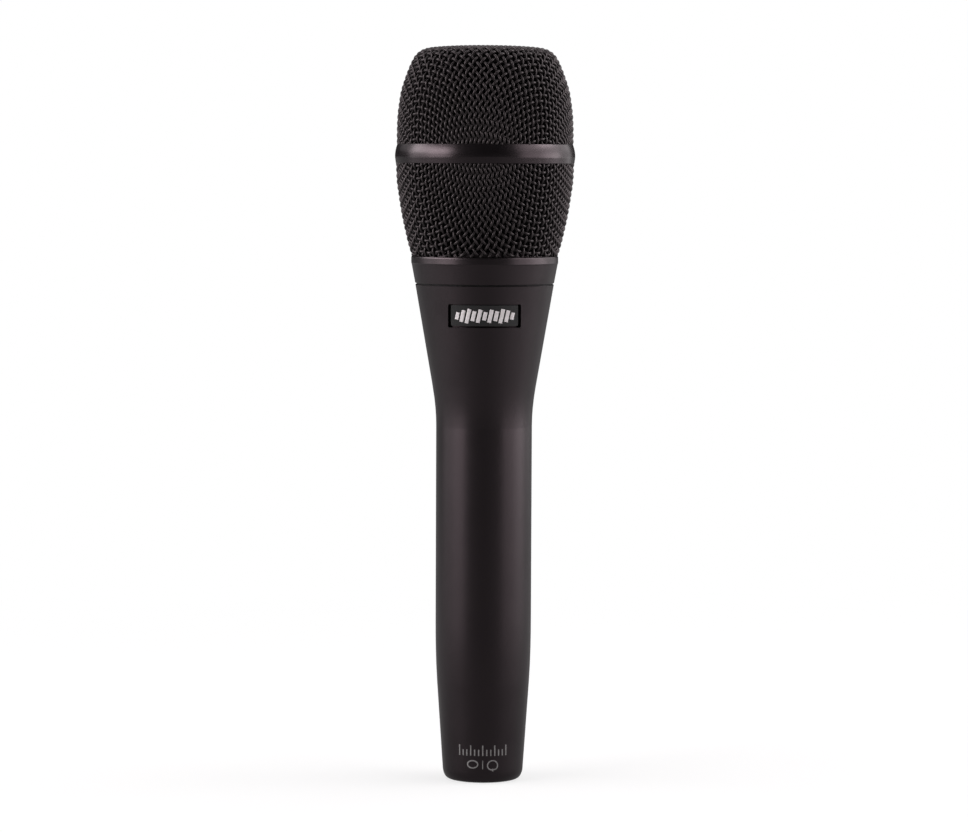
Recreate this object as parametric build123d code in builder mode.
from build123d import *
import math
import os

os.makedirs("parts", exist_ok=True)

# Handheld vocal microphone. Millimetres. The origin is the centre of the tail end face, +Z runs
# along the body axis towards the grille, and -Y is the front, where the name badge sits.
# Section tables are (radius, z) points, revolved about Z. A name ending in _Y is a position
# along Y, and _Z0 and _Z1 are the lower and upper ends of a feature.

# ---------------------------------------------------------------- driving dimensions
TOTAL_L = 190.2  # tail face to the crown of the grille
BAND_R = 23.25  # widest point, on the centre band

# handle
GRIP_R, GRIP_Z0, GRIP_Z1 = 12.42, 42.0, 92.0  # the straight grip that a clip holds
TAIL_R, TAIL_ROUND_R, TAIL_ROUND_Z = 10.44, 1.84, 2.7  # soft rim, longer along the axis
TAPER_R, TAPER_Z, TAPER_SLOPE = 11.98, 25.5, 0.0667
CONE_R0, CONE_Z0, CONE_SLOPE = 13.49, 103.0, 0.175
SHOULDER_R, SHOULDER_Z, SHOULDER_EDGE = 17.90, 128.75, 0.14
CAVITY_R = 10.40
CONTACT_LEDGE_Z = 114.0  # carries the contact board
NECK_BORE_R, NECK_TOP_Z, NECK_EDGE = 13.40, 134.6, 0.3
RING_GROOVE_R, RING_GROOVE_Z0, RING_GROOVE_Z1 = 14.10, 132.60, 133.60

# cable connector in the tail
MOUTH_R, MOUTH_DEPTH = 8.30, 2.2
SOCKET_R, SOCKET_Z1, STOP_R, STOP_Z1 = 8.10, 24.6, 7.30, 25.60
LOCK_SCREW_Z = 19.4

# grille screw thread
PITCH = 1.25
MALE_ROOT_R, MALE_CREST_R = 15.25, 16.00
RIDGE_H, RIDGE_BURY = MALE_CREST_R - MALE_ROOT_R, 0.15
FEMALE_CREST_R = 15.40
FEMALE_ROOT_R = FEMALE_CREST_R + RIDGE_H
MALE_Z0, MALE_L = 130.10, 3.75
FEMALE_Z0, FEMALE_L = MALE_Z0 - PITCH / 2 + PITCH / 4, 3.85  # begins a quarter turn round
RIDGE_FLANK = 1.0 / 3.0  # half-width gained per unit of depth
RIDGE_CREST_W = 0.30

# grille
COLLAR_Z0, LIP_Z0, COLLAR_TOP_Z, LIP_R = 129.05, 134.30, 136.10, 19.00
BAND_Z0, BAND_Z1 = 159.85, 164.90
SPIGOT_L = 1.3  # spigots of the collar and the band, inside the baskets
RIM_GAP = 0.05  # between a basket's rim and its neighbour

# capsule
CAPSULE_R, CAPSULE_BORE_R = 12.7, 11.7
STACK_Z = 159.5  # top of the ledge that the diaphragm stack stands on

# small round board in the cartridge
CARTRIDGE_BOARD_Z, CARTRIDGE_BOARD_T = 121.05, 1.2
CARTRIDGE_BOARD_TOP_Z = CARTRIDGE_BOARD_Z + CARTRIDGE_BOARD_T


# ---------------------------------------------------------------- helpers
def export_part(part, name):
    """Label a piece and write its STEP file."""
    part.label = name
    export_step(part, f"parts/{name}.step")


def facing_front(y, z, x=0):
    """A plane across the body that extrudes towards -Y."""
    return Plane(origin=(x, y, z), x_dir=(1, 0, 0), z_dir=(0, -1, 0))


def facing_back(y, z, x=0):
    """A plane across the body that extrudes towards +Y."""
    return Plane(origin=(x, y, z), x_dir=(1, 0, 0), z_dir=(0, 1, 0))


def revolved(section):
    """A closed (radius, z) polygon, revolved about Z."""
    with BuildPart() as body:
        with BuildSketch(Plane.XZ):
            with BuildLine():
                Polyline(*section, close=True)
            make_face()
        revolve(axis=Axis.Z)
    return body.part


def revolved_shell(outer, inner, tangents=None):
    """The wall between two smooth (radius, z) curves, revolved about Z."""
    with BuildPart() as shell:
        with BuildSketch(Plane.XZ):
            with BuildLine():
                Spline(*outer, tangents=tangents)
                Line(outer[-1], inner[-1])
                Spline(*inner, tangents=tangents)
                Line(inner[0], outer[0])
            make_face()
        revolve(axis=Axis.Z)
    return shell.part


def flat_ring(z, thickness, outer_r, inner_r=None):
    """A flat ring about Z, or a full disc without inner_r."""
    with BuildPart() as ring:
        with BuildSketch(Plane.XY.offset(z)):
            Circle(outer_r)
            if inner_r is not None:
                Circle(inner_r, mode=Mode.SUBTRACT)
        extrude(amount=thickness)
    return ring.part


# ---------------------------------------------------------------- threads
def thread_ridge(radius, height, z0, inner, outer):
    """One trapezoid ridge swept along a helix; inner and outer are (offset, half-width)."""
    inner_x, inner_w = inner
    outer_x, outer_w = outer
    with BuildPart() as ridge:
        with BuildLine() as helix:
            Helix(pitch=PITCH, height=height, radius=radius, center=(0, 0, z0))
        with BuildSketch(
            Plane(origin=helix.line @ 0, x_dir=(1, 0, 0), z_dir=helix.line % 0)
        ):
            with BuildLine():
                Polyline(
                    (inner_x, -inner_w),
                    (outer_x, -outer_w),
                    (outer_x, outer_w),
                    (inner_x, inner_w),
                    close=True,
                )
            make_face()
        sweep(path=helix.line, is_frenet=True)
    return ridge.part


# each ridge's foot is buried in the cylinder it stands on
CREST_HALF_W = RIDGE_CREST_W / 2
FOOT_HALF_W = CREST_HALF_W + RIDGE_FLANK * (RIDGE_H + RIDGE_BURY)
male_ridge = thread_ridge(
    MALE_ROOT_R, MALE_L, MALE_Z0,
    inner=(-RIDGE_BURY, FOOT_HALF_W), outer=(RIDGE_H, CREST_HALF_W),
)
female_ridge = thread_ridge(
    FEMALE_CREST_R, FEMALE_L, FEMALE_Z0,
    inner=(0.0, CREST_HALF_W), outer=(RIDGE_H + RIDGE_BURY, FOOT_HALF_W),
)

# ---------------------------------------------------------------- handle
POCKET_Z, POCKET_W, POCKET_H, POCKET_CORNER_R = 121.1, 18.6, 6.0, 0.4  # badge pocket
POCKET_Y, POCKET_CUT = -11.5, 10.0
POCKET_FLOOR_R = 14.95  # at FLOOR_Z0
FLOOR_Z0 = POCKET_Z - POCKET_H / 2 - 0.3
FLOOR_Z1 = POCKET_Z + POCKET_H / 2 + 0.3
FLOOR_RISE = CONE_SLOPE * (FLOOR_Z1 - FLOOR_Z0)  # radius gained from FLOOR_Z0 to FLOOR_Z1

SOCKET_CUT_Y = 7.0  # where the cuts through the back of the socket wall start
LATCH_Z, LATCH_W, LATCH_H, LATCH_CUT = 4.9, 5.0, 3.2, 2.3
ACCESS_HOLE_R, ACCESS_HOLE_CUT = 1.45, 6.0

# Shell: rounded tail rim, long taper, straight grip, cone up to the shoulder, threaded neck.
# Inside: connector socket and stop ledge, cavity, board ledges and the snap ring's groove.
with BuildPart() as handle_body:
    with BuildSketch(Plane.XZ):
        with BuildLine():
            Line((MOUTH_R, 0), (TAIL_R - TAIL_ROUND_R, 0))
            Spline(
                (TAIL_R - TAIL_ROUND_R, 0),
                (
                    TAIL_R - TAIL_ROUND_R * (1 - math.sin(math.pi / 4)),
                    TAIL_ROUND_Z * (1 - math.cos(math.pi / 4)),
                ),
                (TAIL_R, TAIL_ROUND_Z),
                tangents=[(1.0, 0.0), (TAPER_SLOPE, 1.0)],
            )
            Line((TAIL_R, TAIL_ROUND_Z), (TAPER_R, TAPER_Z))
            Spline(
                (TAPER_R, TAPER_Z),
                (GRIP_R, GRIP_Z0),
                tangents=[(TAPER_SLOPE, 1.0), (0.0, 1.0)],
            )
            Line((GRIP_R, GRIP_Z0), (GRIP_R, GRIP_Z1))
            Spline(
                (GRIP_R, GRIP_Z1),
                (CONE_R0, CONE_Z0),
                tangents=[(0.0, 1.0), (CONE_SLOPE, 1.0)],
            )
            Polyline(
                # cone, shoulder and neck outside
                (CONE_R0, CONE_Z0),
                (SHOULDER_R, SHOULDER_Z - SHOULDER_EDGE),
                (SHOULDER_R - SHOULDER_EDGE, SHOULDER_Z),
                (15.00, SHOULDER_Z),
                (15.00, SHOULDER_Z + 0.8),
                (MALE_ROOT_R, SHOULDER_Z + 1.0),
                (MALE_ROOT_R, NECK_TOP_Z - NECK_EDGE),
                (MALE_ROOT_R - NECK_EDGE, NECK_TOP_Z),
                # neck bore with the snap ring's groove
                (NECK_BORE_R, NECK_TOP_Z),
                (NECK_BORE_R, RING_GROOVE_Z1),
                (RING_GROOVE_R, RING_GROOVE_Z1),
                (RING_GROOVE_R, RING_GROOVE_Z0),
                (NECK_BORE_R, RING_GROOVE_Z0),
                # ledges, then the cavity
                (NECK_BORE_R, CONTACT_LEDGE_Z),
                (12.00, CONTACT_LEDGE_Z),
                (12.00, 110.00),
                (CAVITY_R, 102.00),
                (CAVITY_R, 27.00),
                # stop ledge, socket and mouth
                (9.20, STOP_Z1),
                (STOP_R, STOP_Z1),
                (STOP_R, SOCKET_Z1),
                (SOCKET_R, SOCKET_Z1),
                (SOCKET_R, MOUTH_DEPTH),
                (MOUTH_R, MOUTH_DEPTH),
                (MOUTH_R, 0),
            )
        make_face()
    revolve(axis=Axis.Z)
    add(male_ridge)
    # badge pocket, cut right through the cone's wall at the front
    with BuildSketch(facing_front(POCKET_Y, POCKET_Z)):
        RectangleRounded(POCKET_W, POCKET_H, POCKET_CORNER_R)
    extrude(amount=POCKET_CUT, mode=Mode.SUBTRACT)
    # latch pocket in the socket wall, for the cable plug's catch
    with BuildSketch(facing_back(SOCKET_CUT_Y, LATCH_Z)):
        Rectangle(LATCH_W, LATCH_H)
    extrude(amount=LATCH_CUT, mode=Mode.SUBTRACT)
    # access hole for the connector's lock screw
    with BuildSketch(facing_back(SOCKET_CUT_Y, LOCK_SCREW_Z)):
        Circle(ACCESS_HOLE_R)
    extrude(amount=ACCESS_HOLE_CUT, mode=Mode.SUBTRACT)

# the pocket's curved floor: a band about 1.1 mm inside the cone's surface
pocket_floor = revolved([
    (NECK_BORE_R, FLOOR_Z0),
    (POCKET_FLOOR_R, FLOOR_Z0),
    (POCKET_FLOOR_R + FLOOR_RISE, FLOOR_Z1),
    (NECK_BORE_R, FLOOR_Z1),
])
with BuildPart() as handle_shell:
    add(handle_body.part)
    add(pocket_floor)
export_part(handle_shell.part, "handle_shell")

# Blank name badge: a curved plate that follows the cone, about 0.1 mm below its surface
BADGE_W, BADGE_H, BADGE_Z, BADGE_CORNER_R = 17.1, 5.3, 121.25, 0.3
BADGE_BACK_R, BADGE_FACE_R = 15.03, 15.93  # at FLOOR_Z0
BADGE_CUT_Y, BADGE_CUT = -8.0, 12.0

with BuildPart() as name_badge:
    with BuildSketch(Plane.XZ):
        with BuildLine():
            Polyline(
                (BADGE_BACK_R, FLOOR_Z0),
                (BADGE_FACE_R, FLOOR_Z0),
                (BADGE_FACE_R + FLOOR_RISE, FLOOR_Z1),
                (BADGE_BACK_R + FLOOR_RISE, FLOOR_Z1),
                close=True,
            )
        make_face()
    revolve(axis=Axis.Z)
    with BuildSketch(facing_front(BADGE_CUT_Y, BADGE_Z)):
        RectangleRounded(BADGE_W, BADGE_H, BADGE_CORNER_R)
    extrude(amount=BADGE_CUT, mode=Mode.INTERSECT)
export_part(name_badge.part, "name_badge")

# ---------------------------------------------------------------- grille collar and band
# Threaded collar: cylindrical lip over a cone that carries on the handle's line, with a spigot
# that stands inside the lower basket.
COLLAR_SECTION = [
    (16.45, COLLAR_Z0),
    (17.84, COLLAR_Z0),
    (17.98, COLLAR_Z0 + 0.14),
    (18.88, LIP_Z0 - 0.30),
    (LIP_R, LIP_Z0),
    (LIP_R, COLLAR_TOP_Z - 0.45),
    (LIP_R - 0.08, COLLAR_TOP_Z - 0.15),
    (LIP_R - 0.28, COLLAR_TOP_Z),
    (17.88, COLLAR_TOP_Z),
    (17.88, COLLAR_TOP_Z + SPIGOT_L),
    (17.30, COLLAR_TOP_Z + SPIGOT_L),
    (17.30, 135.20),
    (FEMALE_ROOT_R, 134.20),
    (FEMALE_ROOT_R, COLLAR_Z0 + 0.3),
]
with BuildPart() as grille_collar:
    with BuildSketch(Plane.XZ):
        with BuildLine():
            Polyline(*COLLAR_SECTION, close=True)
        make_face()
    revolve(axis=Axis.Z)
    add(female_ridge, rotation=(0, 0, 90))
export_part(grille_collar.part, "grille_collar")

# Centre band: two sloping faces outside, and a spigot up and down that the baskets fit over
BAND_LOWER_FACE = [
    (21.98, BAND_Z0),
    (22.86, BAND_Z0),
    (23.05, BAND_Z0 + 0.12),
    (BAND_R - 0.02, BAND_Z0 + 1.45),
    (BAND_R, BAND_Z0 + 1.72),
]
BAND_UPPER_FACE = [
    (BAND_R, BAND_Z0 + 1.72),
    (23.13, BAND_Z0 + 3.25),
    (22.90, BAND_Z0 + 4.20),
    (22.66, BAND_Z1 - 0.12),
]
BAND_SPIGOTS = [
    (22.66, BAND_Z1 - 0.12),
    (22.50, BAND_Z1),
    (21.74, BAND_Z1),
    (21.74, BAND_Z1 + SPIGOT_L),
    (21.30, BAND_Z1 + SPIGOT_L),
    (21.30, BAND_Z0 - SPIGOT_L),
    (21.98, BAND_Z0 - SPIGOT_L),
    (21.98, BAND_Z0),
]
with BuildPart() as grille_band:
    with BuildSketch(Plane.XZ):
        with BuildLine():
            Polyline(*BAND_LOWER_FACE)
            Spline(*BAND_UPPER_FACE)
            Polyline(*BAND_SPIGOTS)
        make_face()
    revolve(axis=Axis.Z)
export_part(grille_band.part, "grille_band")

# Thin washer in the seam between collar and shoulder
WASHER_R, WASHER_BORE_R, WASHER_GAP = 17.62, 16.20, 0.03
seal_washer = flat_ring(
    SHOULDER_Z + WASHER_GAP, COLLAR_Z0 - SHOULDER_Z - 2 * WASHER_GAP, WASHER_R, WASHER_BORE_R
)
export_part(seal_washer, "seal_washer")

# ---------------------------------------------------------------- baskets, liners and foam
MESH_T = 1.0  # two crossed wires
LOWER_MESH_T = MESH_T * 1.03  # the sloping lower wall, measured level
LINER_T, LINER_GAP = 0.4, 0.15
FOAM_T, FOAM_GAP = 1.6, 0.12
FOAM_DEPTH = LINER_GAP + LINER_T + FOAM_GAP  # from the mesh's inner face to the foam
UPPER_RIM_R = 22.82

# outer surface of the two baskets, as (radius, z)
LOWER_BASKET = [
    (18.97, COLLAR_TOP_Z + RIM_GAP),
    (19.87, 139.2), (20.60, 142.3), (21.31, 145.5),
    (21.87, 148.6), (22.33, 151.7), (22.80, 155.0),
    (23.02, BAND_Z0 - RIM_GAP),
]
UPPER_BASKET = [
    (UPPER_RIM_R, BAND_Z1 + RIM_GAP),
    (UPPER_RIM_R, 168.4), (22.66, 172.2), (22.28, 175.4), (21.75, 178.6),
    (20.82, 181.6), (19.82, 184.3), (18.97, 186.2),
    (18.22, 187.50), (17.02, 188.65), (15.35, 189.42),  # corner
    (10.6, 189.95), (0.0, TOTAL_L),  # crown
]
UPPER_TANGENTS = [(0, 1), (-1, 0)]  # straight up at the rim, level at the crown


def narrowed(points, distance):
    """The same curve with every radius reduced by distance."""
    return [(r - distance, z) for r, z in points]


def inward(points, distance):
    """The same curve moved in along its normal, taken from each point's neighbours."""
    moved = []
    for i, (r, z) in enumerate(points):
        before = points[max(i - 1, 0)]
        after = points[min(i + 1, len(points) - 1)]
        run_r, run_z = after[0] - before[0], after[1] - before[1]
        length = math.hypot(run_r, run_z)
        moved.append((r - run_z / length * distance, z + run_r / length * distance))
    return moved


def upper_layer(depth, rim):
    """The upper basket's curve at a depth below its surface, with its own rim point."""
    points = inward(UPPER_BASKET, depth)
    points[0] = rim
    points[-1] = (0.0, TOTAL_L - depth)
    return points


def upper_liner_layer(depth, rim_r):
    """An upper layer whose second point is moved in level."""
    points = upper_layer(depth, (rim_r, BAND_Z1 + 1.55))
    points[1] = (UPPER_RIM_R - depth, UPPER_BASKET[1][1])
    return points


lower_mesh = revolved_shell(LOWER_BASKET, narrowed(LOWER_BASKET, LOWER_MESH_T))
export_part(lower_mesh, "grille_lower_mesh")

upper_mesh_in = upper_layer(MESH_T, (UPPER_RIM_R - MESH_T, BAND_Z1 + RIM_GAP))
upper_mesh = revolved_shell(UPPER_BASKET, upper_mesh_in, UPPER_TANGENTS)
export_part(upper_mesh, "grille_upper_mesh")

# Fine mesh liners behind the baskets, clear of the spigots
LINER_RIM_R = 21.80
lower_liner_out = [
    (18.20, 137.60),
    *narrowed(LOWER_BASKET[1:-1], LOWER_MESH_T + LINER_GAP),
    (LINER_RIM_R, BAND_Z0 - 1.65),
]
lower_liner = revolved_shell(lower_liner_out, narrowed(lower_liner_out, LINER_T))
export_part(lower_liner, "lower_liner")

upper_liner = revolved_shell(
    upper_liner_layer(MESH_T + LINER_GAP, LINER_RIM_R),
    upper_liner_layer(MESH_T + LINER_GAP + LINER_T, LINER_RIM_R - LINER_T),
    UPPER_TANGENTS,
)
export_part(upper_liner, "upper_liner")

# Soft foam behind the fine mesh: a ring in the lower basket and a cup in the upper one
lower_foam_out = [
    *narrowed(LOWER_BASKET[1:-1], LOWER_MESH_T + FOAM_DEPTH),
    (21.20, BAND_Z0 - 1.85),
]
lower_foam = revolved_shell(lower_foam_out, narrowed(lower_foam_out, FOAM_T))
export_part(lower_foam, "lower_foam")

UPPER_FOAM_RIM_R, UPPER_FOAM_RIM_Z = 21.25, BAND_Z1 + 1.55
UPPER_FOAM_IN = [
    (UPPER_FOAM_RIM_R - FOAM_T, UPPER_FOAM_RIM_Z),
    (19.60, 170.5), (19.25, 175.0), (18.50, 179.5), (17.40, 183.2),
    (16.35, 185.4), (14.60, 186.35), (10.0, 186.65), (0.0, 186.90),
]
upper_foam_out = upper_layer(MESH_T + FOAM_DEPTH, (UPPER_FOAM_RIM_R, UPPER_FOAM_RIM_Z))
upper_foam = revolved_shell(upper_foam_out, UPPER_FOAM_IN, UPPER_TANGENTS)
export_part(upper_foam, "upper_foam")

# ---------------------------------------------------------------- cartridge base and switch
SWITCH_Z, SWITCH_TRAVEL = 137.8, 2.0
KNOB_X = -SWITCH_TRAVEL / 2  # the slider rests at the -X end of its travel

BASE_SECTION = [
    (11.90, 118.00), (13.30, 118.00), (13.30, 132.50), (11.50, 132.50),
    (11.20, 132.90), (11.20, 143.00), (7.40, 143.00), (7.40, 145.00),
    (6.40, 145.00), (6.40, 141.60), (9.70, 141.60), (9.70, 133.00),
    (3.40, 133.00), (3.40, 130.60), (11.90, 130.60),
]
WINDOW_W, WINDOW_H, WINDOW_CORNER_R = 6.4, 2.8, 0.3
WINDOW_Y, WINDOW_CUT = -8.0, 5.0
BASE_LEDGE_R, BASE_LEDGE_BORE_R, BASE_LEDGE_T = 12.20, 10.90, 1.0

with BuildPart() as cartridge_base:
    with BuildSketch(Plane.XZ):
        with BuildLine():
            Polyline(*BASE_SECTION, close=True)
        make_face()
    revolve(axis=Axis.Z)
    # window for the switch knob
    with BuildSketch(facing_front(WINDOW_Y, SWITCH_Z)):
        RectangleRounded(WINDOW_W, WINDOW_H, WINDOW_CORNER_R)
    extrude(amount=WINDOW_CUT, mode=Mode.SUBTRACT)
    # ledge just above the small round board
    with BuildSketch(Plane.XY.offset(CARTRIDGE_BOARD_TOP_Z + 0.05)):
        Circle(BASE_LEDGE_R)
        Circle(BASE_LEDGE_BORE_R, mode=Mode.SUBTRACT)
    extrude(amount=BASE_LEDGE_T)
export_part(cartridge_base.part, "cartridge_base")

# Spring ring, split at the back, that holds the cartridge in the neck
SNAP_RING_R, SNAP_RING_BORE_R, SNAP_RING_T = 14.00, 12.35, 0.88
SPLIT_Y, SPLIT_W, SPLIT_CUT = 13.2, 5.0, 4.0
EYE_X, EYE_Y, EYE_R = 3.4, 12.75, 0.4  # a small hole each side of the split

with BuildPart() as snap_ring:
    with BuildSketch(Plane.XY.offset(RING_GROOVE_Z0 + 0.06)):
        Circle(SNAP_RING_R)
        Circle(SNAP_RING_BORE_R, mode=Mode.SUBTRACT)
        with Locations((0, SPLIT_Y)):
            Rectangle(SPLIT_W, SPLIT_CUT, mode=Mode.SUBTRACT)
    extrude(amount=SNAP_RING_T)
    with Locations((-EYE_X, EYE_Y, RING_GROOVE_Z1), (EYE_X, EYE_Y, RING_GROOVE_Z1)):
        Hole(radius=EYE_R, depth=3.0)
export_part(snap_ring.part, "snap_ring")

# Small round board, with three holes
CARTRIDGE_BOARD_R = 11.70
BOARD_HOLE_CIRCLE_R, BOARD_HOLE_R = 4.4, 0.5

with BuildPart() as cartridge_board:
    with BuildSketch(Plane.XY.offset(CARTRIDGE_BOARD_Z)):
        Circle(CARTRIDGE_BOARD_R)
        with PolarLocations(BOARD_HOLE_CIRCLE_R, 3, start_angle=30):
            Circle(BOARD_HOLE_R, mode=Mode.SUBTRACT)
    extrude(amount=CARTRIDGE_BOARD_T)
export_part(cartridge_board.part, "cartridge_board")

# Input transistors under the deck, on top of the round board
INPUT_X, INPUT_Y = 5.6, -4.4
INPUT_W, INPUT_D, INPUT_H, INPUT_CORNER_R = 4.4, 3.4, 4.2, 0.9

with BuildPart() as input_transistors:
    with BuildSketch(Plane.XY.offset(CARTRIDGE_BOARD_TOP_Z + 0.02)):
        with Locations((-INPUT_X, INPUT_Y), (INPUT_X, INPUT_Y)):
            Rectangle(INPUT_W, INPUT_D)
    extrude(amount=INPUT_H)
    fillet(input_transistors.edges().filter_by(Axis.Z), radius=INPUT_CORNER_R)
export_part(input_transistors.part, "input_transistors")

# Switch body, open at the front
SWITCH_BACK_Y, SWITCH_W, SWITCH_H, SWITCH_D = -5.0, 8.5, 3.8, 3.4
CHAMBER_Y, CHAMBER_W, CHAMBER_H, CHAMBER_D = -6.9, 6.4, 2.6, 0.9
SLOT_Y, SLOT_W, SLOT_H, SLOT_CUT = -7.7, 4.8, 1.7, 1.5
LEG_PITCH, LEG_W, LEG_H, LEG_L = 2.0, 0.6, 0.3, 1.6

with BuildPart() as switch_body:
    with BuildSketch(facing_front(SWITCH_BACK_Y, SWITCH_Z)):
        Rectangle(SWITCH_W, SWITCH_H)
    extrude(amount=SWITCH_D)
    # chamber and slot for the slider
    with BuildSketch(facing_front(CHAMBER_Y, SWITCH_Z)):
        Rectangle(CHAMBER_W, CHAMBER_H)
    extrude(amount=CHAMBER_D, mode=Mode.SUBTRACT)
    with BuildSketch(facing_front(SLOT_Y, SWITCH_Z)):
        Rectangle(SLOT_W, SLOT_H)
    extrude(amount=SLOT_CUT, mode=Mode.SUBTRACT)
    # solder legs, rooted 0.05 mm inside the body
    with BuildSketch(facing_back(SWITCH_BACK_Y - 0.05, SWITCH_Z)):
        with GridLocations(LEG_PITCH, LEG_PITCH, 3, 2):
            Rectangle(LEG_W, LEG_H)
    extrude(amount=LEG_L)
export_part(switch_body.part, "switch_body")

# Slider: a plate inside the switch and a knob that stands out through the slot
PLATE_Y, PLATE_W, PLATE_H, PLATE_T = -7.0, 4.2, 2.3, 0.6
KNOB_Y, KNOB_W, KNOB_H, KNOB_L, KNOB_EDGE = -7.4, 2.5, 1.4, 4.5, 0.25
GRIP_GROOVE_Y, GRIP_GROOVE_W, GRIP_GROOVE_H, GRIP_GROOVE_CUT = -12.2, 0.5, 3.0, 0.6

with BuildPart() as pattern_slider:
    with BuildSketch(facing_front(PLATE_Y, SWITCH_Z, KNOB_X)):
        Rectangle(PLATE_W, PLATE_H)
    extrude(amount=PLATE_T)
    with BuildSketch(facing_front(KNOB_Y, SWITCH_Z, KNOB_X)):
        Rectangle(KNOB_W, KNOB_H)
    extrude(amount=KNOB_L)
    chamfer(pattern_slider.faces().sort_by(Axis.Y)[0].edges(), length=KNOB_EDGE)
    # grip groove across the knob's front end
    with BuildSketch(facing_back(GRIP_GROOVE_Y, SWITCH_Z, KNOB_X)):
        Rectangle(GRIP_GROOVE_W, GRIP_GROOVE_H)
    extrude(amount=GRIP_GROOVE_CUT, mode=Mode.SUBTRACT)
export_part(pattern_slider.part, "pattern_slider")

# ---------------------------------------------------------------- shock mount and capsule
SHOCK_MOUNT_SECTION = [
    (7.50, 143.05), (11.00, 143.05), (11.00, 144.60), (9.40, 145.60),
    (9.40, 147.00), (11.00, 148.00), (11.00, 149.50), (7.50, 149.50),
    (7.50, 147.60), (8.40, 147.00), (8.40, 145.60), (7.50, 145.20),
]
export_part(revolved(SHOCK_MOUNT_SECTION), "shock_mount")

CARRIER_SECTION = [
    (6.40, 147.90), (7.40, 147.90), (7.40, 149.55), (CAPSULE_R, 149.55),
    (CAPSULE_R, 151.20), (11.60, 151.20), (11.60, 152.40), (10.80, 152.40),
    (10.80, 150.90), (6.40, 150.90),
]
export_part(revolved(CARRIER_SECTION), "capsule_carrier")

# Capsule housing: open tube with a ring of ports low down, and an inner ledge for the stack
HOUSING_Z0, HOUSING_Z1, HOUSING_EDGE = 151.25, 171.00, 0.3
STACK_LEDGE_R, STACK_LEDGE_T = 10.20, 1.0
PORT_COUNT, PORT_CUT, PORT_W, PORT_Z, PORT_H = 10, 3.0, 4.6, 153.4, 4.2

with BuildPart() as capsule_housing:
    with BuildSketch(Plane.XZ):
        with BuildLine():
            Polyline(
                (CAPSULE_BORE_R, HOUSING_Z0),
                (CAPSULE_R, HOUSING_Z0),
                (CAPSULE_R, HOUSING_Z1 - HOUSING_EDGE),
                (CAPSULE_R - HOUSING_EDGE, HOUSING_Z1),
                (CAPSULE_BORE_R, HOUSING_Z1),
                (CAPSULE_BORE_R, STACK_Z),
                (STACK_LEDGE_R, STACK_Z),
                (STACK_LEDGE_R, STACK_Z - STACK_LEDGE_T),
                (CAPSULE_BORE_R, STACK_Z - STACK_LEDGE_T),
                close=True,
            )
        make_face()
    revolve(axis=Axis.Z)
    with BuildSketch(Plane.XY.offset(PORT_Z)):
        with PolarLocations((CAPSULE_R + CAPSULE_BORE_R) / 2, PORT_COUNT):
            Rectangle(PORT_CUT, PORT_W)
    extrude(amount=PORT_H, mode=Mode.SUBTRACT)
export_part(capsule_housing.part, "capsule_housing")

# The stack, from the ledge up: ring, diaphragm, spacer, insulator with a backplate in each
# side, then spacer, diaphragm and ring again.
STACK_GAP = 0.02
RING_R, RING_BORE_R, RING_T = 11.50, 9.60, 1.16
DIAPHRAGM_R, DIAPHRAGM_T = 11.40, 0.08
SPACER_BORE_R, SPACER_T = 9.65, 0.20
INSULATOR_H, INSULATOR_BORE_R = 5.50, 9.62
WEB_BORE_R, WEB_Z0, WEB_Z1 = 0.80, 2.10, 3.40  # web's z is above the insulator's foot

REAR_RING_Z = STACK_Z + STACK_GAP
REAR_DIAPHRAGM_Z = REAR_RING_Z + RING_T + STACK_GAP
REAR_SPACER_Z = REAR_DIAPHRAGM_Z + DIAPHRAGM_T + STACK_GAP
INSULATOR_Z = REAR_SPACER_Z + SPACER_T + STACK_GAP
FRONT_SPACER_Z = INSULATOR_Z + INSULATOR_H + STACK_GAP
FRONT_DIAPHRAGM_Z = FRONT_SPACER_Z + SPACER_T + STACK_GAP
FRONT_RING_Z = FRONT_DIAPHRAGM_Z + DIAPHRAGM_T + STACK_GAP

BACKPLATE_R, BACKPLATE_T, BACKPLATE_HOLE_R = 9.55, 2.0, 0.45
BACKPLATE_HOLES = [(2.6, 6), (5.2, 12), (7.7, 18)]  # (circle radius, count)


def backplate(z):
    """A disc with a centre hole and three circles of holes."""
    with BuildPart() as plate:
        with BuildSketch(Plane.XY.offset(z)):
            Circle(BACKPLATE_R)
            Circle(BACKPLATE_HOLE_R, mode=Mode.SUBTRACT)
            for circle_r, count in BACKPLATE_HOLES:
                with PolarLocations(circle_r, count):
                    Circle(BACKPLATE_HOLE_R, mode=Mode.SUBTRACT)
        extrude(amount=BACKPLATE_T)
    return plate.part


# (side, ring z, diaphragm z, spacer z, backplate z); front is the side towards the grille
STACK_SIDES = [
    ("rear", REAR_RING_Z, REAR_DIAPHRAGM_Z, REAR_SPACER_Z, INSULATOR_Z + 0.04),
    ("front", FRONT_RING_Z, FRONT_DIAPHRAGM_Z, FRONT_SPACER_Z, INSULATOR_Z + 3.45),
]
for side, ring_z, diaphragm_z, spacer_z, plate_z in STACK_SIDES:
    ring = flat_ring(ring_z, RING_T, RING_R, RING_BORE_R)
    export_part(ring, f"{side}_diaphragm_ring")
    export_part(flat_ring(diaphragm_z, DIAPHRAGM_T, DIAPHRAGM_R), f"{side}_diaphragm")
    spacer = flat_ring(spacer_z, SPACER_T, DIAPHRAGM_R, SPACER_BORE_R)
    export_part(spacer, f"{side}_spacer")
    export_part(backplate(plate_z), f"{side}_backplate")

# H-section insulator that holds the two backplates apart
WEB_HOLE_CIRCLE_R, WEB_HOLE_COUNT, WEB_HOLE_R = 5.6, 6, 1.3

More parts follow.
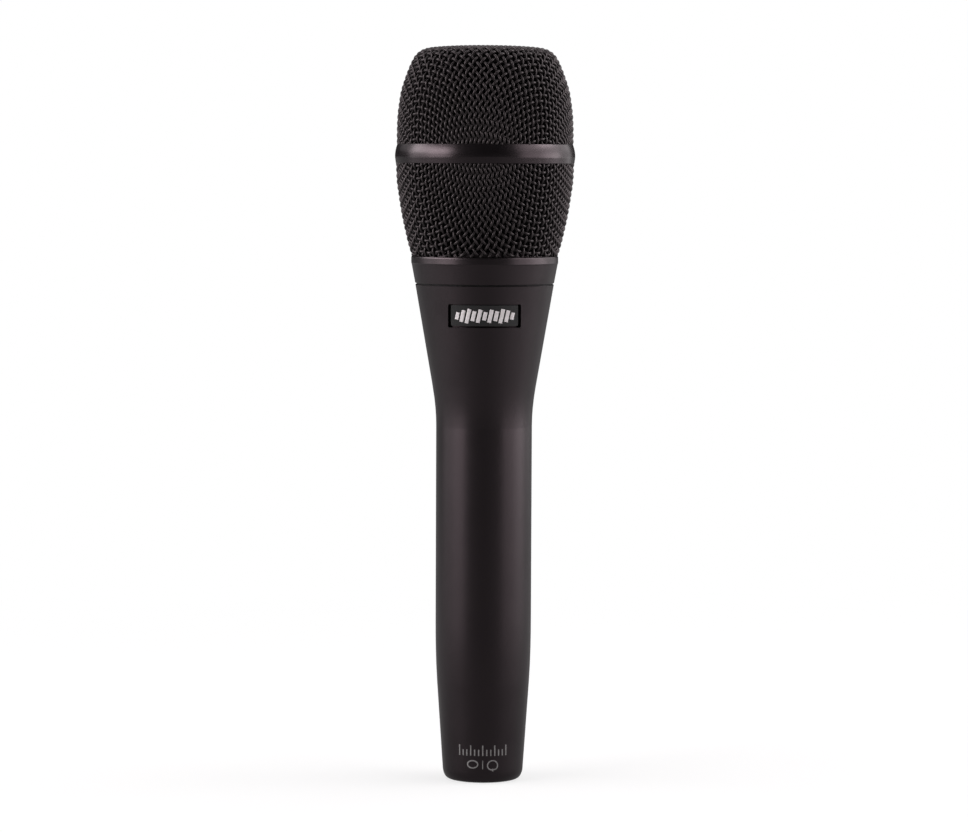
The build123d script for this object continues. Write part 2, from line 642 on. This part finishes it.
with BuildPart() as backplate_insulator:
    with BuildSketch(Plane.XZ):
        with BuildLine():
            Polyline(
                (WEB_BORE_R, INSULATOR_Z + WEB_Z0),
                (INSULATOR_BORE_R, INSULATOR_Z + WEB_Z0),
                (INSULATOR_BORE_R, INSULATOR_Z),
                (RING_R, INSULATOR_Z),
                (RING_R, INSULATOR_Z + INSULATOR_H),
                (INSULATOR_BORE_R, INSULATOR_Z + INSULATOR_H),
                (INSULATOR_BORE_R, INSULATOR_Z + WEB_Z1),
                (WEB_BORE_R, INSULATOR_Z + WEB_Z1),
                close=True,
            )
        make_face()
    revolve(axis=Axis.Z)
    with BuildSketch(Plane.XY.offset(INSULATOR_Z + WEB_Z0 - 0.1)):
        with PolarLocations(WEB_HOLE_CIRCLE_R, WEB_HOLE_COUNT):
            Circle(WEB_HOLE_R)
    extrude(amount=1.5, mode=Mode.SUBTRACT)
export_part(backplate_insulator.part, "backplate_insulator")

# Clamp ring above the stack, with four notches for its key
CLAMP_R, CLAMP_BORE_R, CLAMP_T, CLAMP_GAP = 11.64, 9.70, 1.5, 0.04
NOTCH_CIRCLE_R, NOTCH_D, NOTCH_W = 9.9, 1.2, 1.6

with BuildPart() as clamp_ring:
    with BuildSketch(Plane.XY.offset(FRONT_RING_Z + RING_T + CLAMP_GAP)):
        Circle(CLAMP_R)
        Circle(CLAMP_BORE_R, mode=Mode.SUBTRACT)
        with PolarLocations(NOTCH_CIRCLE_R, 4, start_angle=45):
            Rectangle(NOTCH_D, NOTCH_W, mode=Mode.SUBTRACT)
    extrude(amount=CLAMP_T)
export_part(clamp_ring.part, "clamp_ring")

# Domed screen that protects the front diaphragm
SCREEN_HOLE_R = 0.8
SCREEN_HOLES = [(3.2, 8), (5.9, 14), (8.5, 20)]  # (circle radius, count)

with BuildPart() as capsule_screen:
    with BuildSketch(Plane.XZ):
        with BuildLine():
            Polyline((0.0, 174.6), (0.0, 175.1))
            ThreePointArc((0.0, 175.1), (6.5, 174.0), (11.0, 170.75))
            Polyline((11.0, 170.75), (11.60, 170.70), (11.60, 170.15), (10.7, 170.15))
            ThreePointArc((10.7, 170.15), (6.3, 173.45), (0.0, 174.6))
        make_face()
    revolve(axis=Axis.Z)
    with BuildSketch(Plane.XY.offset(169.0)):
        for circle_r, count in SCREEN_HOLES:
            with PolarLocations(circle_r, count):
                Circle(SCREEN_HOLE_R)
        Circle(SCREEN_HOLE_R)
    extrude(amount=8.0, mode=Mode.SUBTRACT)
export_part(capsule_screen.part, "capsule_screen")

# Three fine leads from the round board up through the shock mount, then out to just below the
# stack's ledge
LEAD_R = 0.30
LEAD_Z0 = CARTRIDGE_BOARD_TOP_Z + 0.05
LEAD_ROUTE = [(2.4, 148.0), (6.6, 154.2), (10.85, 158.2)]  # (distance from the axis, z)


def capsule_lead(angle):
    """One lead, in the upright plane at this angle in degrees from +X."""
    cos_a, sin_a = math.cos(math.radians(angle)), math.sin(math.radians(angle))
    route = [(r * cos_a, r * sin_a, z) for r, z in LEAD_ROUTE]
    foot_x, foot_y, _ = route[0]
    with BuildPart() as lead:
        with BuildLine() as run:
            Line((foot_x, foot_y, LEAD_Z0), route[0])
            Spline(*route, tangents=[(0, 0, 1), (0.25 * cos_a, 0.25 * sin_a, 1)])
        with BuildSketch(Plane.XY.offset(LEAD_Z0)):
            with Locations((foot_x, foot_y)):
                Circle(LEAD_R)
        sweep(path=run.line)
    return lead.part


leads = [capsule_lead(angle) for angle in (30, 150, 270)]
with BuildPart() as capsule_leads:
    for lead_part in leads:
        add(lead_part)
export_part(capsule_leads.part, "capsule_leads")

# ---------------------------------------------------------------- boards in the handle
CONTACT_BOARD_R, CONTACT_BOARD_Z, CONTACT_BOARD_T = 13.20, CONTACT_LEDGE_Z + 0.05, 1.6
CONTACT_HOLE_Y, CONTACT_HOLE_R = 9.0, 1.1

with BuildPart() as contact_board:
    with BuildSketch(Plane.XY.offset(CONTACT_BOARD_Z)):
        Circle(CONTACT_BOARD_R)
        with Locations((0, CONTACT_HOLE_Y), (0, -CONTACT_HOLE_Y)):
            Circle(CONTACT_HOLE_R, mode=Mode.SUBTRACT)
    extrude(amount=CONTACT_BOARD_T)
export_part(contact_board.part, "contact_board")

# Four sprung contacts between the two round boards: a barrel with a thinner tip
CONTACT_CIRCLE_R = 7.2
BARREL_R, BARREL_Z, BARREL_L = 0.90, CONTACT_BOARD_Z + CONTACT_BOARD_T + 0.02, 3.2
TIP_R, TIP_Z, TIP_Z1 = 0.50, BARREL_Z + BARREL_L - 0.02, CARTRIDGE_BOARD_Z - 0.02

with BuildPart() as spring_contacts:
    with BuildSketch(Plane.XY.offset(BARREL_Z)):
        with PolarLocations(CONTACT_CIRCLE_R, 4, start_angle=45):
            Circle(BARREL_R)
    extrude(amount=BARREL_L)
    with BuildSketch(Plane.XY.offset(TIP_Z)):
        with PolarLocations(CONTACT_CIRCLE_R, 4, start_angle=45):
            Circle(TIP_R)
    extrude(amount=TIP_Z1 - TIP_Z)
export_part(spring_contacts.part, "spring_contacts")

# Long preamp board, upright on the axis; its faces look to the front and the back
PREAMP_W, PREAMP_L, PREAMP_T, PREAMP_MID_Z = 17.6, 71.0, 1.6, 68.5
PREAMP_CORNER_R, PREAMP_HOLE_R = 0.8, 0.9
PREAMP_HOLES = [(-6.8, 38.0), (6.8, 38.0), (-6.8, 94.0), (6.8, 94.0)]  # (x, z)

with BuildPart() as preamp_board:
    with BuildSketch(Plane.XZ.offset(-PREAMP_T / 2)):
        with Locations((0, PREAMP_MID_Z)):
            RectangleRounded(PREAMP_W, PREAMP_L, PREAMP_CORNER_R)
        with Locations(*PREAMP_HOLES):
            Circle(PREAMP_HOLE_R, mode=Mode.SUBTRACT)
    extrude(amount=PREAMP_T)
export_part(preamp_board.part, "preamp_board")

# Plastic holders that centre the board in the bore, with holes that run into each other
HOLDER_R = 10.30
HOLDER_SLOT_W, HOLDER_SLOT_T = PREAMP_W + 0.2, PREAMP_T + 0.2
LOWER_HOLDER_Z, LOWER_HOLDER_H, LOWER_HOLE_R = 28.6, 6.4, 3.0
LOWER_HOLES = [(-3.4, 5.3), (3.4, 5.3), (0, 5.3), (-1.6, -5.6), (1.6, -5.6)]
UPPER_HOLDER_Z, UPPER_HOLDER_H, UPPER_HOLE_R = 97.0, 4.4, 2.7
UPPER_HOLES = [(-3.2, 5.4), (3.2, 5.4), (0, 5.4), (-3.2, -5.4), (3.2, -5.4), (0, -5.4)]

with BuildPart() as board_holder_lower:
    with BuildSketch(Plane.XY.offset(LOWER_HOLDER_Z)):
        Circle(HOLDER_R)
        with Locations(*LOWER_HOLES):
            Circle(LOWER_HOLE_R, mode=Mode.SUBTRACT)
    extrude(amount=LOWER_HOLDER_H)
    # slot for the board's lower end
    with BuildSketch(Plane.XY.offset(PREAMP_MID_Z - PREAMP_L / 2 - 0.1)):
        Rectangle(HOLDER_SLOT_W, HOLDER_SLOT_T)
    extrude(amount=3.0, mode=Mode.SUBTRACT)
export_part(board_holder_lower.part, "board_holder_lower")

with BuildPart() as board_holder_upper:
    with BuildSketch(Plane.XY.offset(UPPER_HOLDER_Z)):
        Circle(HOLDER_R)
        with Locations(*UPPER_HOLES):
            Circle(UPPER_HOLE_R, mode=Mode.SUBTRACT)
        Rectangle(HOLDER_SLOT_W, HOLDER_SLOT_T, mode=Mode.SUBTRACT)
    extrude(amount=UPPER_HOLDER_H)
export_part(board_holder_upper.part, "board_holder_upper")

# Components on the preamp board, placed by (x, z). The XZ plane looks towards -Y, so a
# positive offset is on the front, and a negative offset and height are on the back.
MOUNT_OFFSET = PREAMP_T / 2 + 0.05

CAN_R, CAN_H, CAN_EDGE_R = 2.5, 6.4, 0.4
CAN_PLACES = [(0, 47.0), (0, 58.0), (0, 69.0)]
with BuildPart() as electrolytic_capacitors:
    with BuildSketch(Plane.XZ.offset(MOUNT_OFFSET)):
        with Locations(*CAN_PLACES):
            Circle(CAN_R)
    extrude(amount=CAN_H)
    fillet(
        electrolytic_capacitors.faces().sort_by(Axis.Y)[0:3].edges(), radius=CAN_EDGE_R
    )
export_part(electrolytic_capacitors.part, "electrolytic_capacitors")


def back_blocks(places, width, length, height, corner_r):
    """Rounded blocks that stand on the back of the preamp board."""
    with BuildPart() as blocks:
        with BuildSketch(Plane.XZ.offset(-MOUNT_OFFSET)):
            with Locations(*places):
                Rectangle(width, length)
        extrude(amount=-height)
        fillet(blocks.edges().filter_by(Axis.Y), radius=corner_r)
    return blocks.part


film_capacitors = back_blocks(
    [(-3.0, 50.0), (3.0, 60.0), (-3.0, 70.0)], width=4.8, length=7.2, height=5.0, corner_r=0.4
)
export_part(film_capacitors, "film_capacitors")

output_transistors = back_blocks(
    [(-4.2, 82.0), (4.2, 82.0), (4.2, 90.0)], width=4.6, length=3.6, height=4.4, corner_r=1.0
)
export_part(output_transistors, "output_transistors")

RESISTOR_L, RESISTOR_W = 6.4, 2.3
RESISTOR_PLACES = [
    (-6.4, 50.0), (-6.4, 60.0), (6.4, 50.0), (6.4, 60.0),
    (-4.0, 80.0), (0.0, 80.0), (4.0, 80.0),
]
with BuildPart() as resistors:
    with BuildSketch(Plane.XZ.offset(MOUNT_OFFSET)):
        with Locations(*RESISTOR_PLACES):
            SlotOverall(RESISTOR_L, RESISTOR_W, rotation=90)
    extrude(amount=RESISTOR_W)
export_part(resistors.part, "resistors")

# Stiff wires from the preamp board to the contact board
BOARD_LEAD_R, BOARD_LEAD_Y, BOARD_LEAD_Z0 = 0.40, -1.25, 102.0

with BuildPart() as board_leads:
    with BuildSketch(Plane.XY.offset(BOARD_LEAD_Z0)):
        with Locations(*[(x, BOARD_LEAD_Y) for x in (-4.5, -1.5, 1.5, 4.5)]):
            Circle(BOARD_LEAD_R)
    extrude(amount=CONTACT_LEDGE_Z - BOARD_LEAD_Z0)
export_part(board_leads.part, "board_leads")

# ---------------------------------------------------------------- cable connector
INSERT_R, INSERT_Z0, INSERT_Z1 = 8.05, 14.2, 24.5
DISH_R, DISH_Z = 7.2, INSERT_Z0 + 0.4  # shallow dish round the pins, and its floor
PIN_R, PIN_TIP_Z, PIN_TIP_ROUND_R, PIN_CUP_R = 1.19, 2.5, 0.75, 1.40
PIN_XY = [(-3.81, 2.86), (3.81, 2.86), (0.0, -4.76)]
SCREW_SEAT_Y, SCREW_SEAT_R, SCREW_SEAT_CUT = 4.9, 1.32, 4.0
SPRING_GROOVE_Y, SPRING_GROOVE_Z = -7.4, 19.6
SPRING_GROOVE_W, SPRING_GROOVE_L, SPRING_GROOVE_CUT = 3.4, 9.9, 1.0

with BuildPart() as xlr_insert:
    with BuildSketch(Plane.XY.offset(INSERT_Z0)):
        Circle(INSERT_R)
        with Locations(*PIN_XY):
            Circle(PIN_CUP_R + 0.02, mode=Mode.SUBTRACT)
    extrude(amount=INSERT_Z1 - INSERT_Z0)
    with BuildSketch(Plane.XY.offset(INSERT_Z0)):
        Circle(DISH_R)
    extrude(amount=DISH_Z - INSERT_Z0, mode=Mode.SUBTRACT)
    # seat of the lock screw
    with BuildSketch(facing_back(SCREW_SEAT_Y, LOCK_SCREW_Z)):
        Circle(SCREW_SEAT_R)
    extrude(amount=SCREW_SEAT_CUT, mode=Mode.SUBTRACT)
    # groove for the ground spring
    with BuildSketch(facing_front(SPRING_GROOVE_Y, SPRING_GROOVE_Z)):
        Rectangle(SPRING_GROOVE_W, SPRING_GROOVE_L)
    extrude(amount=SPRING_GROOVE_CUT, mode=Mode.SUBTRACT)
export_part(xlr_insert.part, "xlr_insert")

# Contact pins: thin free end, thicker root through the insert, solder cup behind
CUP_STANDOUT, CUP_BORE_R, CUP_BORE_Z, CUP_BORE_CUT = 3.3, 0.90, INSERT_Z1 + 1.0, 3.0

with BuildPart() as xlr_pins:
    with BuildSketch(Plane.XY.offset(PIN_TIP_Z)):
        with Locations(*PIN_XY):
            Circle(PIN_R)
    extrude(amount=DISH_Z + 0.1 - PIN_TIP_Z)
    fillet(xlr_pins.edges().group_by(Axis.Z)[0], radius=PIN_TIP_ROUND_R)
    with BuildSketch(Plane.XY.offset(DISH_Z)):
        with Locations(*PIN_XY):
            Circle(PIN_CUP_R)
    extrude(amount=INSERT_Z1 + CUP_STANDOUT - DISH_Z)
    with BuildSketch(Plane.XY.offset(CUP_BORE_Z)):
        with Locations(*PIN_XY):
            Circle(CUP_BORE_R)
    extrude(amount=CUP_BORE_CUT, mode=Mode.SUBTRACT)
export_part(xlr_pins.part, "xlr_pins")

# Lock screw, with a driver slot in its outer end
SCREW_R, SCREW_Y, SCREW_L = 1.28, 5.1, 4.3
DRIVER_SLOT_Y, DRIVER_SLOT_W, DRIVER_SLOT_H, DRIVER_SLOT_CUT = 9.5, 3.0, 0.45, 0.8

with BuildPart() as xlr_set_screw:
    with BuildSketch(facing_back(SCREW_Y, LOCK_SCREW_Z)):
        Circle(SCREW_R)
    extrude(amount=SCREW_L)
    with BuildSketch(facing_front(DRIVER_SLOT_Y, LOCK_SCREW_Z)):
        Rectangle(DRIVER_SLOT_W, DRIVER_SLOT_H)
    extrude(amount=DRIVER_SLOT_CUT, mode=Mode.SUBTRACT)
export_part(xlr_set_screw.part, "xlr_set_screw")

# Sprung strip that grounds the shell
SPRING_OUTLINE = [  # (y, z)
    (-7.46, 14.8), (-7.76, 14.8), (-7.95, 18.6), (-7.95, 20.4),
    (-7.76, 24.4), (-7.46, 24.4), (-7.65, 20.4), (-7.65, 18.6),
]
SPRING_W = 2.4

with BuildPart() as xlr_ground_spring:
    with BuildSketch(Plane.YZ):
        with BuildLine():
            Polyline(*SPRING_OUTLINE, close=True)
        make_face()
    extrude(amount=SPRING_W / 2, both=True)
export_part(xlr_ground_spring.part, "xlr_ground_spring")

# Three insulated wires from the solder cups to the preamp board
WIRE_R = 0.55
WIRE_Z = [CUP_BORE_Z + 0.2, 31.0, 36.5, 42.0]
WIRE_BENDS = [  # (x, y) at each WIRE_Z after the first, one row per pin
    [(-3.5, 3.6), (-3.1, 3.4), (-3.0, 1.45)],
    [(3.5, 3.6), (3.1, 3.4), (3.0, 1.45)],
    [(0.0, -5.0), (0.0, -4.0), (0.0, -1.45)],
]


def insulated_wire(points):
    """A round wire through the points, upright at both ends."""
    with BuildPart() as wire:
        with BuildLine() as run:
            Spline(*points, tangents=[(0, 0, 1), (0, 0, 1)])
        with BuildSketch(Plane(origin=points[0], z_dir=(0, 0, 1))):
            Circle(WIRE_R)
        sweep(path=run.line)
    return wire.part


wires = [
    insulated_wire([(x, y, z) for (x, y), z in zip([pin, *bends], WIRE_Z)])
    for pin, bends in zip(PIN_XY, WIRE_BENDS)
]
with BuildPart() as xlr_wires:
    for wire_part in wires:
        add(wire_part)
export_part(xlr_wires.part, "xlr_wires")
